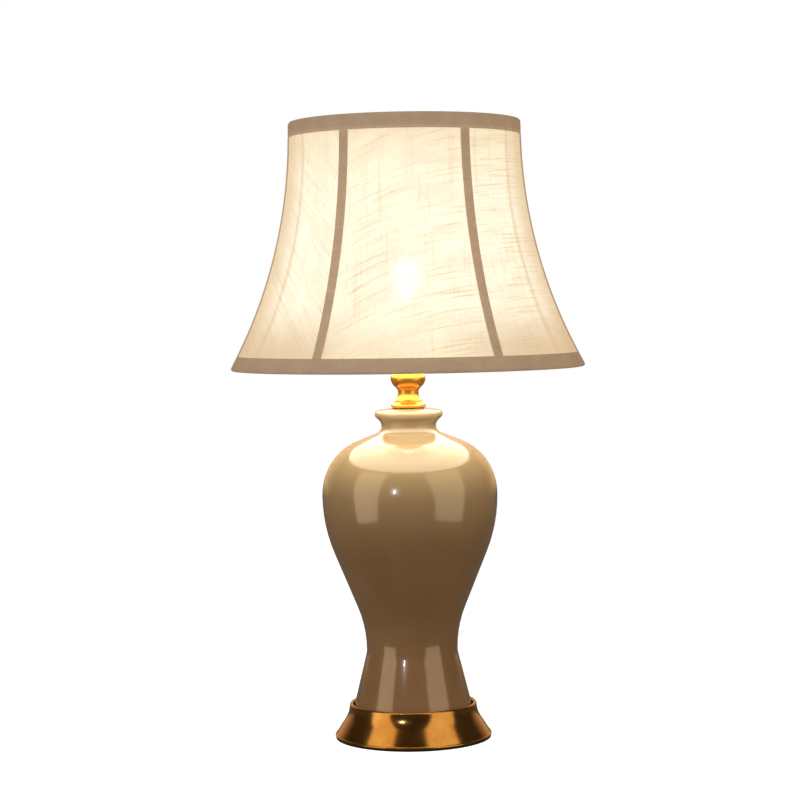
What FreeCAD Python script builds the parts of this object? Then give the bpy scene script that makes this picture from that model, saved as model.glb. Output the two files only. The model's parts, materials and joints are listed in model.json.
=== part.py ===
"""Table lamp: a glazed ceramic vase on a spun brass foot, under a six-panel bell shade.

Millimetres, +Z up.  The origin is the middle of the underside of the felt, the lamp's front
looks along -Y and its cord leaves at the back, along +Y.  Every turned piece shares the Z axis.
"""
import FreeCAD, Part
import math
import os

import Sketcher

# Driving sizes.  One number is a plain length, angle or count.  Two numbers are a corner of a
# turned outline, its radius and its height.  Three are such a corner reached by an arc of the
# third number's radius, positive where the arc turns left on the way round the outline.
SIZES = {
    # felt, spun foot and what is clamped inside it
    "felt_radius": 66.0,
    "felt_thick": 1.5,
    "foot_flange_in": (52.0, 1.5),
    "foot_lip_low": (66.2, 1.5),
    "foot_lip_top": (65.4, 3.4, 1.2),
    "foot_cone_top": (57.3, 16.5),
    "foot_rim_out": (54.0, 28.2, -22.0),
    "foot_rim_in": (50.95, 28.2, 1.56),
    "foot_deck_out": (50.95, 24.5),
    "foot_under_out": (53.1, 23.3),
    "foot_cone_in": (56.0, 16.1, 23.4),
    "foot_flange_out": (64.2, 2.7),
    "rod_hole_radius": 5.3,
    "gland_hole_radius": 5.0,
    "gland_flange_radius": 6.5,
    "gland_flange_thick": 1.8,
    "gland_neck_radius": 4.8,
    "gland_neck_length": 2.0,
    "gland_tail_radius": 5.4,
    "gland_tail_length": 2.4,
    "gland_bore_radius": 3.6,
    "weight_radius": 50.0,
    "weight_thick": 8.0,
    "weight_bevel": 1.5,
    "washer_radius": 15.0,
    "washer_thick": 1.6,
    "lock_washer_radius": 8.0,
    "lock_washer_thick": 1.1,
    "lock_tooth_depth": 1.2,
    "lock_tooth_count": 12,
    "nut_corner_radius": 9.8,
    "nut_thick": 4.5,
    "nut_bevel": 0.6,
    # hollow rod that ties the lamp together
    "rod_radius": 4.9,
    "rod_bore_radius": 3.8,
    "rod_low": 7.5,
    "rod_top": 316.8,
    # ceramic vase, outside going up and inside coming down
    "vase_foot_out": (50.3, 25.5),
    "vase_waist_low": (39.15, 70.6),
    "vase_waist": (38.6, 75.1, -18.6),
    "vase_flare": (45.7, 111.25, -95.4),
    "vase_swell": (64.6, 157.4),
    "vase_belly": (74.2, 206.1, 128.4),
    "vase_shoulder": (71.3, 223.5, 53.8),
    "vase_collar": (44.3, 251.85, 46.8),
    "vase_throat_low": (27.5, 258.5),
    "vase_throat": (23.2, 264.9, -6.9),
    "vase_throat_top": (25.6, 270.1, -6.9),
    "vase_lip_under": (27.3, 271.6),
    "vase_lip": (28.75, 274.7, 4.05),
    "vase_lip_top": (26.3, 277.7, 3.0),
    "vase_mouth": (16.0, 279.5),
    "vase_bore_top": (6.2, 279.5),
    "vase_bore_low": (6.2, 273.5),
    "vase_neck_in": (18.2, 273.5),
    "vase_throat_in": (18.2, 256.9),
    "vase_collar_in": (42.5, 247.2),
    "vase_shoulder_in": (66.5, 221.9, -41.8),
    "vase_belly_in": (69.2, 206.1, -48.8),
    "vase_swell_in": (59.9, 159.3, -123.4),
    "vase_flare_in": (41.0, 113.1),
    "vase_waist_in": (33.6, 75.1, 100.4),
    "vase_waist_low_in": (34.3, 69.4, 23.6),
    "vase_foot_in": (45.1, 25.5),
    "gasket_width": 4.0,
    "neck_gasket_radius": 13.6,
    # turned brass neck
    "neck_flange_low": (14.2, 280.3),
    "neck_flange_top": (14.0, 283.0, 1.6),
    "neck_step_low": (11.7, 285.2),
    "neck_step_top": (11.5, 286.1),
    "neck_stem_low": (8.8, 292.2, -8.3),
    "neck_stem_top": (8.9, 294.6),
    "neck_ledge": (9.8, 296.2, -1.8),
    "neck_cup_low": (10.4, 296.9),
    "neck_cup": (14.8, 304.6, 11.0),
    "neck_cup_top": (13.6, 309.0, 8.0),
    # screw lampholder
    "cap_shoulder": (13.6, 310.5),
    "cap_rim_low": (19.4, 316.5),
    "cap_rim_top": (19.4, 322.0),
    "cap_wall": 1.5,
    "cap_floor_top": 312.0,
    "cap_floor_radius": 13.0,
    "cap_boss_radius": 7.0,
    "cap_boss_top": 317.0,
    "block_radius": 17.0,
    "block_bore_radius": 4.0,
    "block_low": 318.0,
    "block_top": 323.5,
    "terminal_pitch_radius": 10.5,
    "terminal_hole_radius": 1.7,
    "terminal_shank_radius": 1.5,
    "terminal_head_radius": 2.6,
    "terminal_head_thick": 1.6,
    "holder_radius": 19.4,
    "holder_low": 322.3,
    "holder_top": 353.0,
    "holder_bevel": 1.0,
    "holder_bore_radius": 14.6,
    "holder_seat_radius": 17.3,
    "holder_seat_top": 324.5,
    "screw_shell_radius": 13.8,
    "screw_shell_thick": 0.4,
    "screw_shell_top": 351.0,
    "screw_shell_hole_radius": 8.0,
    "leaf_half_length": 6.6,
    "leaf_half_top": 2.4,
    "leaf_thick": 0.4,
    "leaf_rise": 1.1,
    "leaf_width": 5.0,
    # rings that clamp the shade to the lampholder
    "ring_bore_radius": 19.5,
    "ring_flange_radius": 27.5,
    "ring_flange_thick": 1.8,
    "ring_collar_radius": 22.8,
    "ring_notch_radius": 1.1,
    "ring_notch_count": 24,
    "lower_ring_low": 328.5,
    "lower_ring_top": 333.0,
    "upper_ring_low": 335.2,
    "upper_ring_top": 343.0,
    # globe bulb
    "contact_radius": 4.6,
    "contact_low": 325.3,
    "contact_top": 326.9,
    "insulator_low_radius": 5.6,
    "insulator_top_radius": 9.2,
    "insulator_low": 327.0,
    "insulator_top": 330.5,
    "bulb_cap_low_in": (9.3, 330.6),
    "bulb_cap_radius": 13.1,
    "bulb_cap_wall": 0.5,
    "bulb_cap_thread_low": 333.0,
    "bulb_cap_top": 351.8,
    "bulb_neck": (13.5, 352.0),
    "bulb_waist": (14.6, 356.4, -16.0),
    "bulb_housing_top": (21.4, 369.0, -26.0),
    "bulb_housing_wall": 1.4,
    "globe_radius": 22.8,
    "globe_middle": 382.0,
    "globe_wall": 1.2,
    "globe_low": 369.2,
    "plate_radius": 16.5,
    "plate_low": 369.4,
    "plate_thick": 1.6,
    "chip_count": 8,
    "chip_side": 2.8,
    "chip_thick": 0.7,
    "chip_pitch_radius": 11.0,
    # bell shade: the tapes' faces follow one arc about a centre outside the shade
    "bell_centre": (509.8, 515.0),
    "bell_arc_radius": 412.0,
    "shade_top": 521.0,
    "shade_low": 313.3,
    "panel_count": 6,
    "tape_thick": 0.85,
    "tape_width": 7.8,
    "fabric_inset": 0.9,
    "fabric_thick": 0.6,
    "panel_top": 520.0,
    "panel_low": 314.4,
    "panel_seam": 0.1,
    "wire_inset": 3.3,
    "wire_radius": 1.5,
    "lining_inset": 5.2,
    "lining_thick": 0.5,
    "lining_top": 506.0,
    "lining_low": 315.2,
    "top_band_low": 508.0,
    "top_band_tuck": 517.6,
    "hem_band_top": 325.5,
    "hem_band_tuck": 319.0,
    "band_fold": 0.8,
    "tuck_inset": 5.9,
    "top_ring_height": 518.5,
    "hem_ring_height": 316.0,
    "rib_top": 516.9,
    "rib_low": 317.8,
    "fitter_bore_radius": 20.3,
    "fitter_radius": 31.2,
    "fitter_low": 333.3,
    "fitter_thick": 1.6,
    "arm_count": 3,
    "arm_foot_radius": 29.6,
    "arm_foot_height": 335.5,
}

FIRST_RIB_ANGLE = 0.0
FIRST_ARM_ANGLE = 90.0

doc = FreeCAD.newDocument("TableLamp")
sheet = doc.addObject("Spreadsheet::Sheet", "Sizes")
nodes = []


class Size:
    """A number from the sheet together with the formula that keeps it live."""

    def __init__(self, value, formula):
        self.value = value
        self.formula = formula

    @staticmethod
    def of(number):
        return number if isinstance(number, Size) else Size(float(number), str(number))

    def join(self, other, sign, result):
        return Size(result, f"({self.formula} {sign} {other.formula})")

    def __add__(self, other):
        other = Size.of(other)
        return self.join(other, "+", self.value + other.value)

    def __sub__(self, other):
        other = Size.of(other)
        return self.join(other, "-", self.value - other.value)

    def __mul__(self, other):
        other = Size.of(other)
        return self.join(other, "*", self.value * other.value)

    def __truediv__(self, other):
        other = Size.of(other)
        return self.join(other, "/", self.value / other.value)

    def root(self):
        return Size(math.sqrt(self.value), f"sqrt({self.formula})")


ZERO = Size(0.0, "0")


def fill_sheet():
    """Write every driving size to the sheet, with an alias for each number."""
    row = 1
    for name, numbers in SIZES.items():
        numbers = numbers if isinstance(numbers, tuple) else (numbers,)
        endings = ("",) if len(numbers) == 1 else ("_radius", "_height", "_curve")
        for number, ending in zip(numbers, endings):
            sheet.set(f"A{row}", name + ending)
            sheet.set(f"B{row}", str(abs(number)))
            sheet.setAlias(f"B{row}", name + ending)
            row += 1
    doc.recompute()


def size(name):
    return Size(float(sheet.get(name)), "Sizes." + name)


def corner(name):
    """A corner of an outline: radius, height and, for an arc, its signed radius."""
    numbers = SIZES[name]
    place = (size(name + "_radius"), size(name + "_height"))
    if len(numbers) == 3:
        turn = 1 if numbers[2] > 0 else -1
        return place + ((size(name + "_curve"), turn),)
    return place


def arc_to(radius, height, curve, turn):
    return (radius, height, (curve, turn))


def bell(height, inset):
    """Radius of the bell at a height, for a surface that lies `inset` inside the tapes."""
    centre_radius = size("bell_centre_radius")
    drop = size("bell_centre_height") - height
    reach = size("bell_arc_radius") + inset
    return centre_radius - (reach * reach - drop * drop).root()


def arc_between(start, end, radius, turn):
    """The short arc from start to end; turn is 1 where it bends left on the way."""
    along = end - start
    half = along.Length / 2
    left = FreeCAD.Vector(-along.y, along.x, 0).normalize()
    centre = (start + end) / 2 + left * (turn * math.sqrt(radius * radius - half * half))
    first, last = (start, end) if turn > 0 else (end, start)
    angles = [math.atan2(p.y - centre.y, p.x - centre.x) for p in (first, last)]
    circle = Part.Circle(centre, FreeCAD.Vector(0, 0, 1), radius)
    return Part.ArcOfCircle(circle, angles[0], angles[1])


def bind(sketch, kind, references, length):
    """Add one driven measure to a sketch; a measure of nothing pins the point to an axis."""
    if length.value == 0:
        axis = -2 if kind == "DistanceX" else -1
        sketch.addConstraint(Sketcher.Constraint("PointOnObject", *references, axis))
        return
    if kind == "Radius":
        index = sketch.addConstraint(Sketcher.Constraint(kind, references[0], length.value))
    else:
        measure = Sketcher.Constraint(kind, -1, 1, *references, length.value)
        index = sketch.addConstraint(measure)
    sketch.setExpression(f"Constraints[{index}]", length.formula)


def new_sketch(body, name, plane):
    """An empty sketch on one of the body's own origin planes."""
    sketch = body.newObject("Sketcher::SketchObject", name)
    planes = [f for f in body.Origin.OriginFeatures if f.Role == plane]
    sketch.AttachmentSupport = [(planes[0], "")]
    sketch.MapMode = "FlatFace"
    return sketch


def outline_sketch(body, name, corners, plane="XZ_Plane"):
    """A closed outline; each corner may be reached by an arc."""
    sketch = new_sketch(body, name, plane)
    points = [FreeCAD.Vector(c[0].value, c[1].value, 0) for c in corners]
    ends = []
    for index, place in enumerate(corners):
        start, end = points[index - 1], points[index]
        if len(place) == 3:
            curve, turn = place[2]
            piece = sketch.addGeometry(arc_between(start, end, curve.value, turn))
            ends.append((piece, 1, 2) if turn > 0 else (piece, 2, 1))
            bind(sketch, "Radius", (piece,), curve)
        else:
            piece = sketch.addGeometry(Part.LineSegment(start, end))
            ends.append((piece, 1, 2))
    for index, (piece, _, end) in enumerate(ends):
        following = ends[(index + 1) % len(ends)]
        joint = Sketcher.Constraint("Coincident", piece, end, following[0], following[1])
        sketch.addConstraint(joint)
        bind(sketch, "DistanceX", (piece, end), corners[index][0])
        bind(sketch, "DistanceY", (piece, end), corners[index][1])
    return sketch


def circle_sketch(body, name, across, up, radius, plane="XY_Plane"):
    """One circle with its centre at (across, up)."""
    sketch = new_sketch(body, name, plane)
    centre = FreeCAD.Vector(across.value, up.value, 0)
    circle = Part.Circle(centre, FreeCAD.Vector(0, 0, 1), radius.value)
    piece = sketch.addGeometry(circle)
    bind(sketch, "Radius", (piece,), radius)
    bind(sketch, "DistanceX", (piece, 3), across)
    bind(sketch, "DistanceY", (piece, 3), up)
    return sketch


def keep(thing, label):
    """Name a finished sub-part and list it for writing."""
    thing.Label = label
    nodes.append(thing)
    return thing


def turned_body(label, corners, sweep=360.0):
    """Turn a closed outline of radius and height about the Z axis."""
    body = doc.addObject("PartDesign::Body", label)
    sketch = outline_sketch(body, label + "_outline", corners)
    turning = body.newObject("PartDesign::Revolution", label + "_turning")
    turning.Profile = sketch
    turning.ReferenceAxis = (sketch, ["V_Axis"])
    turning.Angle = sweep
    turning.Midplane = sweep < 360.0
    return body


def turned(label, corners, sweep=360.0):
    return keep(turned_body(label, corners, sweep), label)


def tube(label, bore, radius, low, top):
    """A plain turned ring or washer."""
    return turned(label, [(bore, low), (radius, low), (radius, top), (bore, top)])


def pad(body, sketch, label, length, both_ways=False):
    feature = body.newObject("PartDesign::Pad", label)
    feature.Profile = sketch
    feature.setExpression("Length", length.formula)
    feature.Midplane = both_ways
    return feature


def cut_through(body, sketch, label):
    """Cut a sketch's shape right through the body, both ways."""
    before = body.Shape.Volume
    feature = body.newObject("PartDesign::Pocket", label)
    feature.Profile = sketch
    feature.Type = "ThroughAll"
    feature.Midplane = True
    doc.recompute()
    if body.Shape.Volume >= before:
        raise RuntimeError(label + " cuts nothing")
    return feature


def repeat_about_axis(body, feature, label, count):
    """Repeat a feature evenly about the Z axis."""
    pattern = body.newObject("PartDesign::PolarPattern", label)
    pattern.Originals = [feature]
    axes = [f for f in body.Origin.OriginFeatures if f.Role == "Z_Axis"]
    pattern.Axis = (axes[0], [""])
    pattern.Angle = 360.0
    pattern.setExpression("Occurrences", count.formula)
    body.Tip = pattern
    return pattern


def turn_about_z(thing, angle):
    """Swing a finished piece round the lamp's axis, keeping its own placement."""
    swing = FreeCAD.Placement(
        FreeCAD.Vector(), FreeCAD.Rotation(FreeCAD.Vector(0, 0, 1), angle)
    )
    thing.Placement = swing * thing.Placement


# ---------------------------------------------------------------- foot


def felt():
    radius = size("felt_radius")
    thick = size("felt_thick")
    turned("base_felt", [(ZERO, ZERO), (radius, ZERO), (radius, thick), (ZERO, thick)])


def gland_place():
    """Middle of the foot's cone at the back, and the tilt of its normal above level."""
    low_radius = size("foot_lip_top_radius").value
    low_height = size("foot_lip_top_height").value
    top_radius = size("foot_cone_top_radius").value
    top_height = size("foot_cone_top_height").value
    middle = FreeCAD.Vector(0, (low_radius + top_radius) / 2, (low_height + top_height) / 2)
    tilt = math.atan2(low_radius - top_radius, top_height - low_height)
    normal = FreeCAD.Vector(0, math.cos(tilt), math.sin(tilt))
    return FreeCAD.Placement(middle, FreeCAD.Rotation(FreeCAD.Vector(0, 0, 1), normal))


def base_shell():
    """Spun brass foot: flared skirt, rolled rim and a sunk deck, with the gland's hole."""
    hole = size("rod_hole_radius")
    deck = size("foot_deck_out_height")
    under = size("foot_under_out_height")
    body = turned_body("base_spinning", [
        corner("foot_flange_in"), corner("foot_lip_low"), corner("foot_lip_top"),
        corner("foot_cone_top"), corner("foot_rim_out"), corner("foot_rim_in"),
        corner("foot_deck_out"), (hole, deck), (hole, under), corner("foot_under_out"),
        corner("foot_cone_in"), corner("foot_flange_out"),
        (size("foot_flange_in_radius"), size("foot_flange_out_height")),
    ])
    drill = doc.addObject("Part::Cylinder", "gland_drill")
    drill.setExpression("Radius", size("gland_hole_radius").formula)
    reach = size("gland_neck_length") * 3
    drill.setExpression("Height", (reach * 2).formula)
    inward = FreeCAD.Placement(FreeCAD.Vector(0, 0, -reach.value), FreeCAD.Rotation())
    drill.Placement = gland_place() * inward
    shell = doc.addObject("Part::Cut", "base_shell")
    shell.Base = body
    shell.Tool = drill
    keep(shell, "base_shell")


def cord_gland():
    """Moulded bush for the cord, square to the foot's cone.  Its tail lies inside."""
    bore = size("gland_bore_radius")
    neck = size("gland_tail_length")
    face = neck + size("gland_neck_length")
    tail_radius = size("gland_tail_radius")
    neck_radius = size("gland_neck_radius")
    flange = size("gland_flange_radius")
    end = face + size("gland_flange_thick")
    bush = turned("cord_gland", [
        (bore, ZERO), (tail_radius, ZERO), (tail_radius, neck), (neck_radius, neck),
        (neck_radius, face), (flange, face), (flange, end), (bore, end),
    ])
    inward = FreeCAD.Placement(FreeCAD.Vector(0, 0, -face.value), FreeCAD.Rotation())
    bush.Placement = gland_place() * inward


def base_weight():
    """Cast disc that keeps the lamp standing, clamped up against the deck."""
    top = size("foot_under_out_height")
    low = top - size("weight_thick")
    hole = size("rod_hole_radius")
    radius = size("weight_radius")
    bevel = size("weight_bevel")
    turned("base_weight", [
        (hole, low), (radius - bevel, low), (radius, low + bevel), (radius, top), (hole, top),
    ])
    return low


def clamp_washer(top):
    low = top - size("washer_thick")
    tube("clamp_washer", size("rod_hole_radius"), size("washer_radius"), low, top)
    return low


def lock_washer(top):
    """Thin washer with teeth cut round its edge."""
    low = top - size("lock_washer_thick")
    radius = size("lock_washer_radius")
    hole = size("rod_hole_radius")
    body = turned("lock_washer", [(hole, low), (radius, low), (radius, top), (hole, top)])
    doc.recompute()
    tooth = circle_sketch(body, "tooth_outline", radius, ZERO, size("lock_tooth_depth"))
    gap = cut_through(body, tooth, "tooth_gap")
    repeat_about_axis(body, gap, "teeth", size("lock_tooth_count"))
    return low


def bottom_nut(top):
    """Hexagon nut with both faces bevelled and a plain bore for the rod."""
    low = top - size("nut_thick")
    hexagon = doc.addObject("Part::Prism", "nut_hexagon")
    hexagon.Polygon = 6
    hexagon.setExpression("Circumradius", size("nut_corner_radius").formula)
    hexagon.setExpression("Height", size("nut_thick").formula)
    hexagon.Placement.Base = FreeCAD.Vector(0, 0, low.value)
    bevel = size("nut_bevel")
    corner_radius = size("nut_corner_radius")
    bore = size("rod_radius") + 0.05
    blank = turned_body("nut_blank", [
        (bore, low), (corner_radius - bevel * 2, low), (corner_radius, low + bevel),
        (corner_radius, top - bevel), (corner_radius - bevel * 2, top), (bore, top),
    ])
    nut = doc.addObject("Part::Common", "bottom_nut")
    nut.Base = hexagon
    nut.Tool = blank
    keep(nut, "bottom_nut")


def threaded_rod():
    tube("threaded_rod", size("rod_bore_radius"), size("rod_radius"),
         size("rod_low"), size("rod_top"))


# ---------------------------------------------------------------- vase and neck


def vase():
    """Slip-cast baluster vase, open below and bored through its mouth for the rod."""
    turned("vase", [corner("vase_" + name) for name in (
        "foot_out", "waist_low", "waist", "flare", "swell", "belly", "shoulder", "collar",
        "throat_low", "throat", "throat_top", "lip_under", "lip", "lip_top", "mouth",
        "bore_top", "bore_low", "neck_in", "throat_in", "collar_in", "shoulder_in",
        "belly_in", "swell_in", "flare_in", "waist_in", "waist_low_in", "foot_in",
    )])


def gaskets():
    """Soft rings that keep brass off the ceramic, below its foot and on its mouth."""
    deck = size("foot_deck_out_height")
    foot = size("vase_foot_out_radius")
    tube("foot_gasket", foot - size("gasket_width"), foot, deck, size("vase_foot_out_height"))
    tube("neck_gasket", size("vase_bore_top_radius"), size("neck_gasket_radius"),
         size("vase_mouth_height"), size("neck_flange_low_height"))


def neck_spindle():
    hole = size("rod_hole_radius")
    rise = [corner("neck_" + name) for name in (
        "flange_low", "flange_top", "step_low", "step_top", "stem_low", "stem_top",
        "ledge", "cup_low", "cup", "cup_top",
    )]
    low = size("neck_flange_low_height")
    top = size("neck_cup_top_height")
    turned("neck_spindle", [(hole, low)] + rise + [(hole, top)])


# ---------------------------------------------------------------- lampholder


def holder_cap():
    """Lower half of the lampholder, screwed to the rod by the boss in its floor."""
    hole = size("rod_hole_radius")
    low = size("neck_cup_top_height")
    wall = size("cap_wall")
    rim = size("cap_rim_low_radius")
    floor = size("cap_floor_top")
    boss = size("cap_boss_radius")
    boss_top = size("cap_boss_top")
    turned("holder_cap", [
        (hole, low), (size("cap_shoulder_radius"), low), corner("cap_shoulder"),
        corner("cap_rim_low"), corner("cap_rim_top"),
        (rim - wall, size("cap_rim_top_height")),
        (rim - wall, size("cap_rim_low_height") + wall / 2),
        (size("cap_floor_radius"), floor), (boss, floor), (boss, boss_top), (hole, boss_top),
    ])


def terminal_block():
    """Porcelain disc that carries the contacts, with a hole for each terminal screw."""
    bore = size("block_bore_radius")
    radius = size("block_radius")
    low = size("block_low")
    top = size("block_top")
    body = turned("terminal_block", [(bore, low), (radius, low), (radius, top), (bore, top)])
    doc.recompute()
    outline = circle_sketch(body, "terminal_hole_outline", size("terminal_pitch_radius"), ZERO,
                            size("terminal_hole_radius"))
    hole = cut_through(body, outline, "terminal_hole")
    repeat_about_axis(body, hole, "terminal_holes", Size.of(2))


def terminal_screws():
    """A pair of cheese-head screws, heads below the block."""
    body = doc.addObject("PartDesign::Body", "terminal_screw")
    low = size("block_low")
    head = size("terminal_head_radius")
    shank = size("terminal_shank_radius")
    end = size("block_top") - 0.5
    under = low - size("terminal_head_thick")
    sketch = outline_sketch(body, "terminal_screw_outline", [
        (ZERO, under), (head, under), (head, low), (shank, low), (shank, end), (ZERO, end),
    ])
    turning = body.newObject("PartDesign::Revolution", "terminal_screw_turning")
    turning.Profile = sketch
    turning.ReferenceAxis = (sketch, ["V_Axis"])
    doc.recompute()
    pair = doc.addObject("Part::Feature", "terminal_screws")
    reach = size("terminal_pitch_radius").value
    pair.Shape = Part.makeCompound([
        body.Shape.translated(FreeCAD.Vector(side * reach, 0, 0)) for side in (-1, 1)
    ])
    keep(pair, "terminal_screws")


def holder_shell():
    """Upper half of the lampholder, whose outside carries the shade rings."""
    radius = size("holder_radius")
    low = size("holder_low")
    top = size("holder_top")
    bevel = size("holder_bevel")
    bore = size("holder_bore_radius")
    seat = size("holder_seat_radius")
    turned("holder_shell", [
        (seat, low), (radius, low), (radius, top - bevel), (radius - bevel, top), (bore, top),
        (bore, size("holder_seat_top")), (seat, size("holder_seat_top")),
    ])


def screw_shell():
    """Drawn brass cup that takes the bulb's thread."""
    hole = size("screw_shell_hole_radius")
    radius = size("screw_shell_radius")
    thick = size("screw_shell_thick")
    low = size("holder_seat_top") + 0.1
    top = size("screw_shell_top")
    turned("screw_shell", [
        (hole, low), (radius, low), (radius, top), (radius - thick, top),
        (radius - thick, low + thick), (hole, low + thick),
    ])


def centre_contact():
    """Bent brass leaf that the bulb's tip presses on."""
    reach = size("leaf_half_length")
    middle = size("leaf_half_top")
    thick = size("leaf_thick")
    low = size("block_top")
    high = low + size("leaf_rise")
    body = doc.addObject("PartDesign::Body", "centre_contact")
    left = ZERO - reach
    left_middle = ZERO - middle
    sketch = outline_sketch(body, "leaf_outline", [
        (left, low), (left_middle, low + thick), (left_middle, high - thick),
        (middle, high - thick), (middle, low + thick), (reach, low),
        (reach, low + thick), (middle + thick, low + thick * 2), (middle + thick, high),
        (left_middle - thick, high), (left_middle - thick, low + thick * 2),
        (left, low + thick),
    ])
    pad(body, sketch, "leaf", size("leaf_width"), both_ways=True)
    keep(body, "centre_contact")


# ---------------------------------------------------------------- shade rings


def notch_rim(body, label, radius):
    """Finger notches round a ring's flange."""
    doc.recompute()
    outline = circle_sketch(body, label + "_outline", radius, ZERO, size("ring_notch_radius"))
    notch = cut_through(body, outline, label)
    repeat_about_axis(body, notch, label + "_row", size("ring_notch_count"))


def shade_rings():
    """Two flanged rings on the lampholder, with the shade's fitter between them."""
    bore = size("ring_bore_radius")
    collar = size("ring_collar_radius")
    flange = size("ring_flange_radius")
    thick = size("ring_flange_thick")
    low = size("lower_ring_low")
    top = size("lower_ring_top")
    lower = turned("lower_shade_ring", [
        (bore, low), (collar, low), (collar, top - thick), (flange, top - thick),
        (flange, top), (bore, top),
    ])
    notch_rim(lower, "lower_ring_notch", flange)
    low = size("upper_ring_low")
    top = size("upper_ring_top")
    upper = turned("upper_shade_ring", [
        (bore, low), (flange, low), (flange, low + thick), (collar, low + thick),
        (collar, top), (bore, top),
    ])
    notch_rim(upper, "upper_ring_notch", flange)


# ---------------------------------------------------------------- bulb


def bulb_contact():
    low = size("contact_low")
    top = size("contact_top")
    radius = size("contact_radius")
    bevel = (top - low) / 2
    turned("bulb_contact", [
        (ZERO, low), (radius - bevel, low), (radius, top - bevel), (radius, top), (ZERO, top),
    ])


def bulb_insulator():
    low = size("insulator_low")
    top = size("insulator_top")
    turned("bulb_insulator", [
        (ZERO, low), (size("insulator_low_radius"), low), (size("insulator_top_radius"), top),
        (ZERO, top),
    ])


def bulb_cap():
    """Thin screw cap; its thread is drawn plain, at the crests' radius."""
    start = size("bulb_cap_low_in_radius")
    low = size("bulb_cap_low_in_height")
    shoulder = size("bulb_cap_thread_low")
    radius = size("bulb_cap_radius")
    wall = size("bulb_cap_wall")
    top = size("bulb_cap_top")
    turned("bulb_cap", [
        (start, low), (start + wall, low), (radius, shoulder), (radius, top),
        (radius - wall, top), (radius - wall, shoulder + wall), (start, low + wall),
    ])


def bulb_housing():
    """Moulded cup between the cap and the globe, which holds the driver."""
    wall = size("bulb_housing_wall")
    neck = size("bulb_neck_radius")
    low = size("bulb_neck_height")
    rim = size("bulb_housing_top_radius")
    top = size("bulb_housing_top_height")
    waist = size("bulb_waist_radius")
    waist_height = size("bulb_waist_height")
    turned("bulb_housing", [
        (neck - wall, low), corner("bulb_neck"), corner("bulb_waist"),
        corner("bulb_housing_top"), (rim - wall, top),
        arc_to(waist - wall, waist_height, size("bulb_housing_top_curve") + wall, 1),
    ])


def bulb_globe():
    """Opal globe, a hollow ball cut off where it meets the housing."""
    radius = size("globe_radius")
    inner = radius - size("globe_wall")
    middle = size("globe_middle")
    low = size("globe_low")
    drop = middle - low
    outside = (radius * radius - drop * drop).root()
    inside = (inner * inner - drop * drop).root()
    turned("bulb_globe", [
        arc_to(inside, low, inner, -1), (outside, low), arc_to(radius, middle, radius, 1),
        arc_to(ZERO, middle + radius, radius, 1), (ZERO, middle + inner),
        arc_to(inner, middle, inner, -1),
    ])


def led_plate():
    """Metal-cored board with a ring of light-emitting chips standing on it."""
    low = size("plate_low")
    top = low + size("plate_thick")
    radius = size("plate_radius")
    body = turned("led_plate", [(ZERO, low), (radius, low), (radius, top), (ZERO, top)])
    doc.recompute()
    middle = size("chip_pitch_radius")
    half = size("chip_side") / 2
    sketch = outline_sketch(body, "chip_outline", [
        (middle - half, low), (middle + half, low), (middle + half, top + size("chip_thick")),
        (middle - half, top + size("chip_thick")),
    ])
    chip = pad(body, sketch, "chip", size("chip_side"), both_ways=True)
    repeat_about_axis(body, chip, "chips", size("chip_count"))


# ---------------------------------------------------------------- shade


def bell_strip(low, top, inset, thick):
    """A strip of the bell between two heights, `inset` inside the tapes' faces."""
    outer = size("bell_arc_radius") + inset
    inner = outer + thick
    return [
        (bell(low, inset), low), arc_to(bell(top, inset), top, outer, -1),
        (bell(top, inset + thick), top), arc_to(bell(low, inset + thick), low, inner, 1),
    ]


def rib_angles():
    count = int(size("panel_count").value)
    return [FIRST_RIB_ANGLE + 360.0 * number / count for number in range(count)]


def shade_panels():
    """Six fabric panels, each from one rib to the next."""
    half_step = 180.0 / size("panel_count").value
    seam = math.degrees(size("panel_seam").value / size("shade_top").value)
    strip = bell_strip(size("panel_low"), size("panel_top"), size("fabric_inset"),
                       size("fabric_thick"))
    for number, angle in enumerate(rib_angles(), start=1):
        panel = turned(f"shade_panel_{number}", strip, 2 * half_step - seam)
        turn_about_z(panel, angle + half_step)


def lining():
    turned("shade_lining", bell_strip(size("lining_low"), size("lining_top"),
                                      size("lining_inset"), size("lining_thick")))


def rib_tapes():
    """Narrow tapes that cover the seams between the panels."""
    strip = bell_strip(size("hem_band_top") + 0.2, size("top_band_low") - 0.2, ZERO,
                       size("tape_thick"))
    for number, angle in enumerate(rib_angles(), start=1):
        label = f"rib_tape_{number}"
        body = doc.addObject("PartDesign::Body", label)
        sketch = outline_sketch(body, label + "_outline", strip)
        pad(body, sketch, label + "_pad", size("tape_width"), both_ways=True)
        keep(body, label)
        turn_about_z(body, angle)


def folded_band(label, edge, fold, tape_end, tuck_end):
    """A tape folded over the shade's edge: a face outside, a short tuck inside."""
    face = ZERO
    back = size("tape_thick")
    tuck = size("tuck_inset")
    tuck_back = tuck + size("tape_thick")
    arc = size("bell_arc_radius")
    rising = 1 if tape_end.value > edge.value else -1
    turned(label, [
        (bell(edge, face), edge),
        arc_to(bell(tape_end, face), tape_end, arc, -rising),
        (bell(tape_end, back), tape_end),
        arc_to(bell(fold, back), fold, arc + back, rising),
        (bell(fold, tuck), fold),
        arc_to(bell(tuck_end, tuck), tuck_end, arc + tuck, -rising),
        (bell(tuck_end, tuck_back), tuck_end),
        arc_to(bell(edge, tuck_back), edge, arc + tuck_back, rising),
    ])


def shade_bands():
    top = size("shade_top")
    low = size("shade_low")
    fold = size("band_fold")
    folded_band("top_band", top, top - fold, size("top_band_low"), size("top_band_tuck"))
    folded_band("hem_band", low, low + fold, size("hem_band_top"), size("hem_band_tuck"))


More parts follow.
